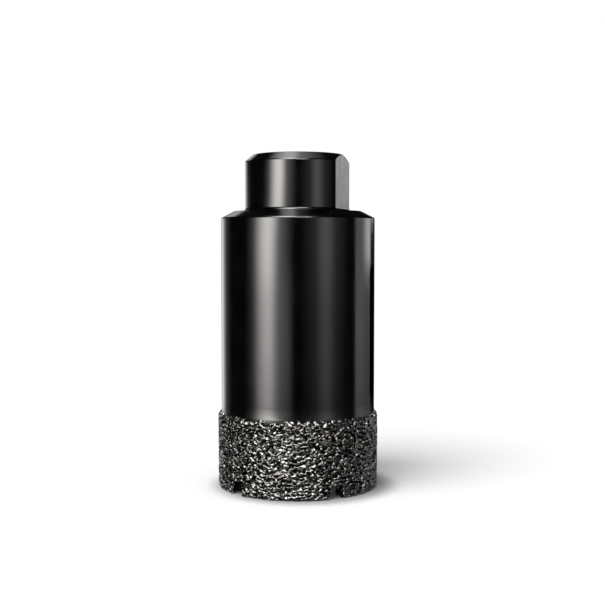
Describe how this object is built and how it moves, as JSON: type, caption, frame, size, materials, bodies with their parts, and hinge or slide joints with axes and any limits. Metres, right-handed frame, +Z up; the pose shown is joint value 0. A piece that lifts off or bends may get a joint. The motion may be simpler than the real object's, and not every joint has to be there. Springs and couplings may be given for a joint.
{
  "type": "diamond core bit",
  "caption": "Hollow cylindrical core bit: threaded spindle hub with spanner flats, slotted steel barrel and a notched cutting rim coated in brazed diamond grit.",
  "frame": {"origin": "on the bit's axis, in the plane of the cutting rim's end", "axes": "+Z up the axis, from the cutting rim to the mouth of the spindle thread; the spanner flats and the side slots face +X and -X"},
  "size_m": [0.033, 0.033, 0.068],
  "materials": {
    "black_steel": "gloss black with faint turning lines",
    "brazed_grit": "rough dark brazed grit with silvery glints"
  },
  "bodies": {
    "root": {"core_bit_body": "black_steel", "diamond_grit_layer": "brazed_grit"}
  },
  "joints": []
}
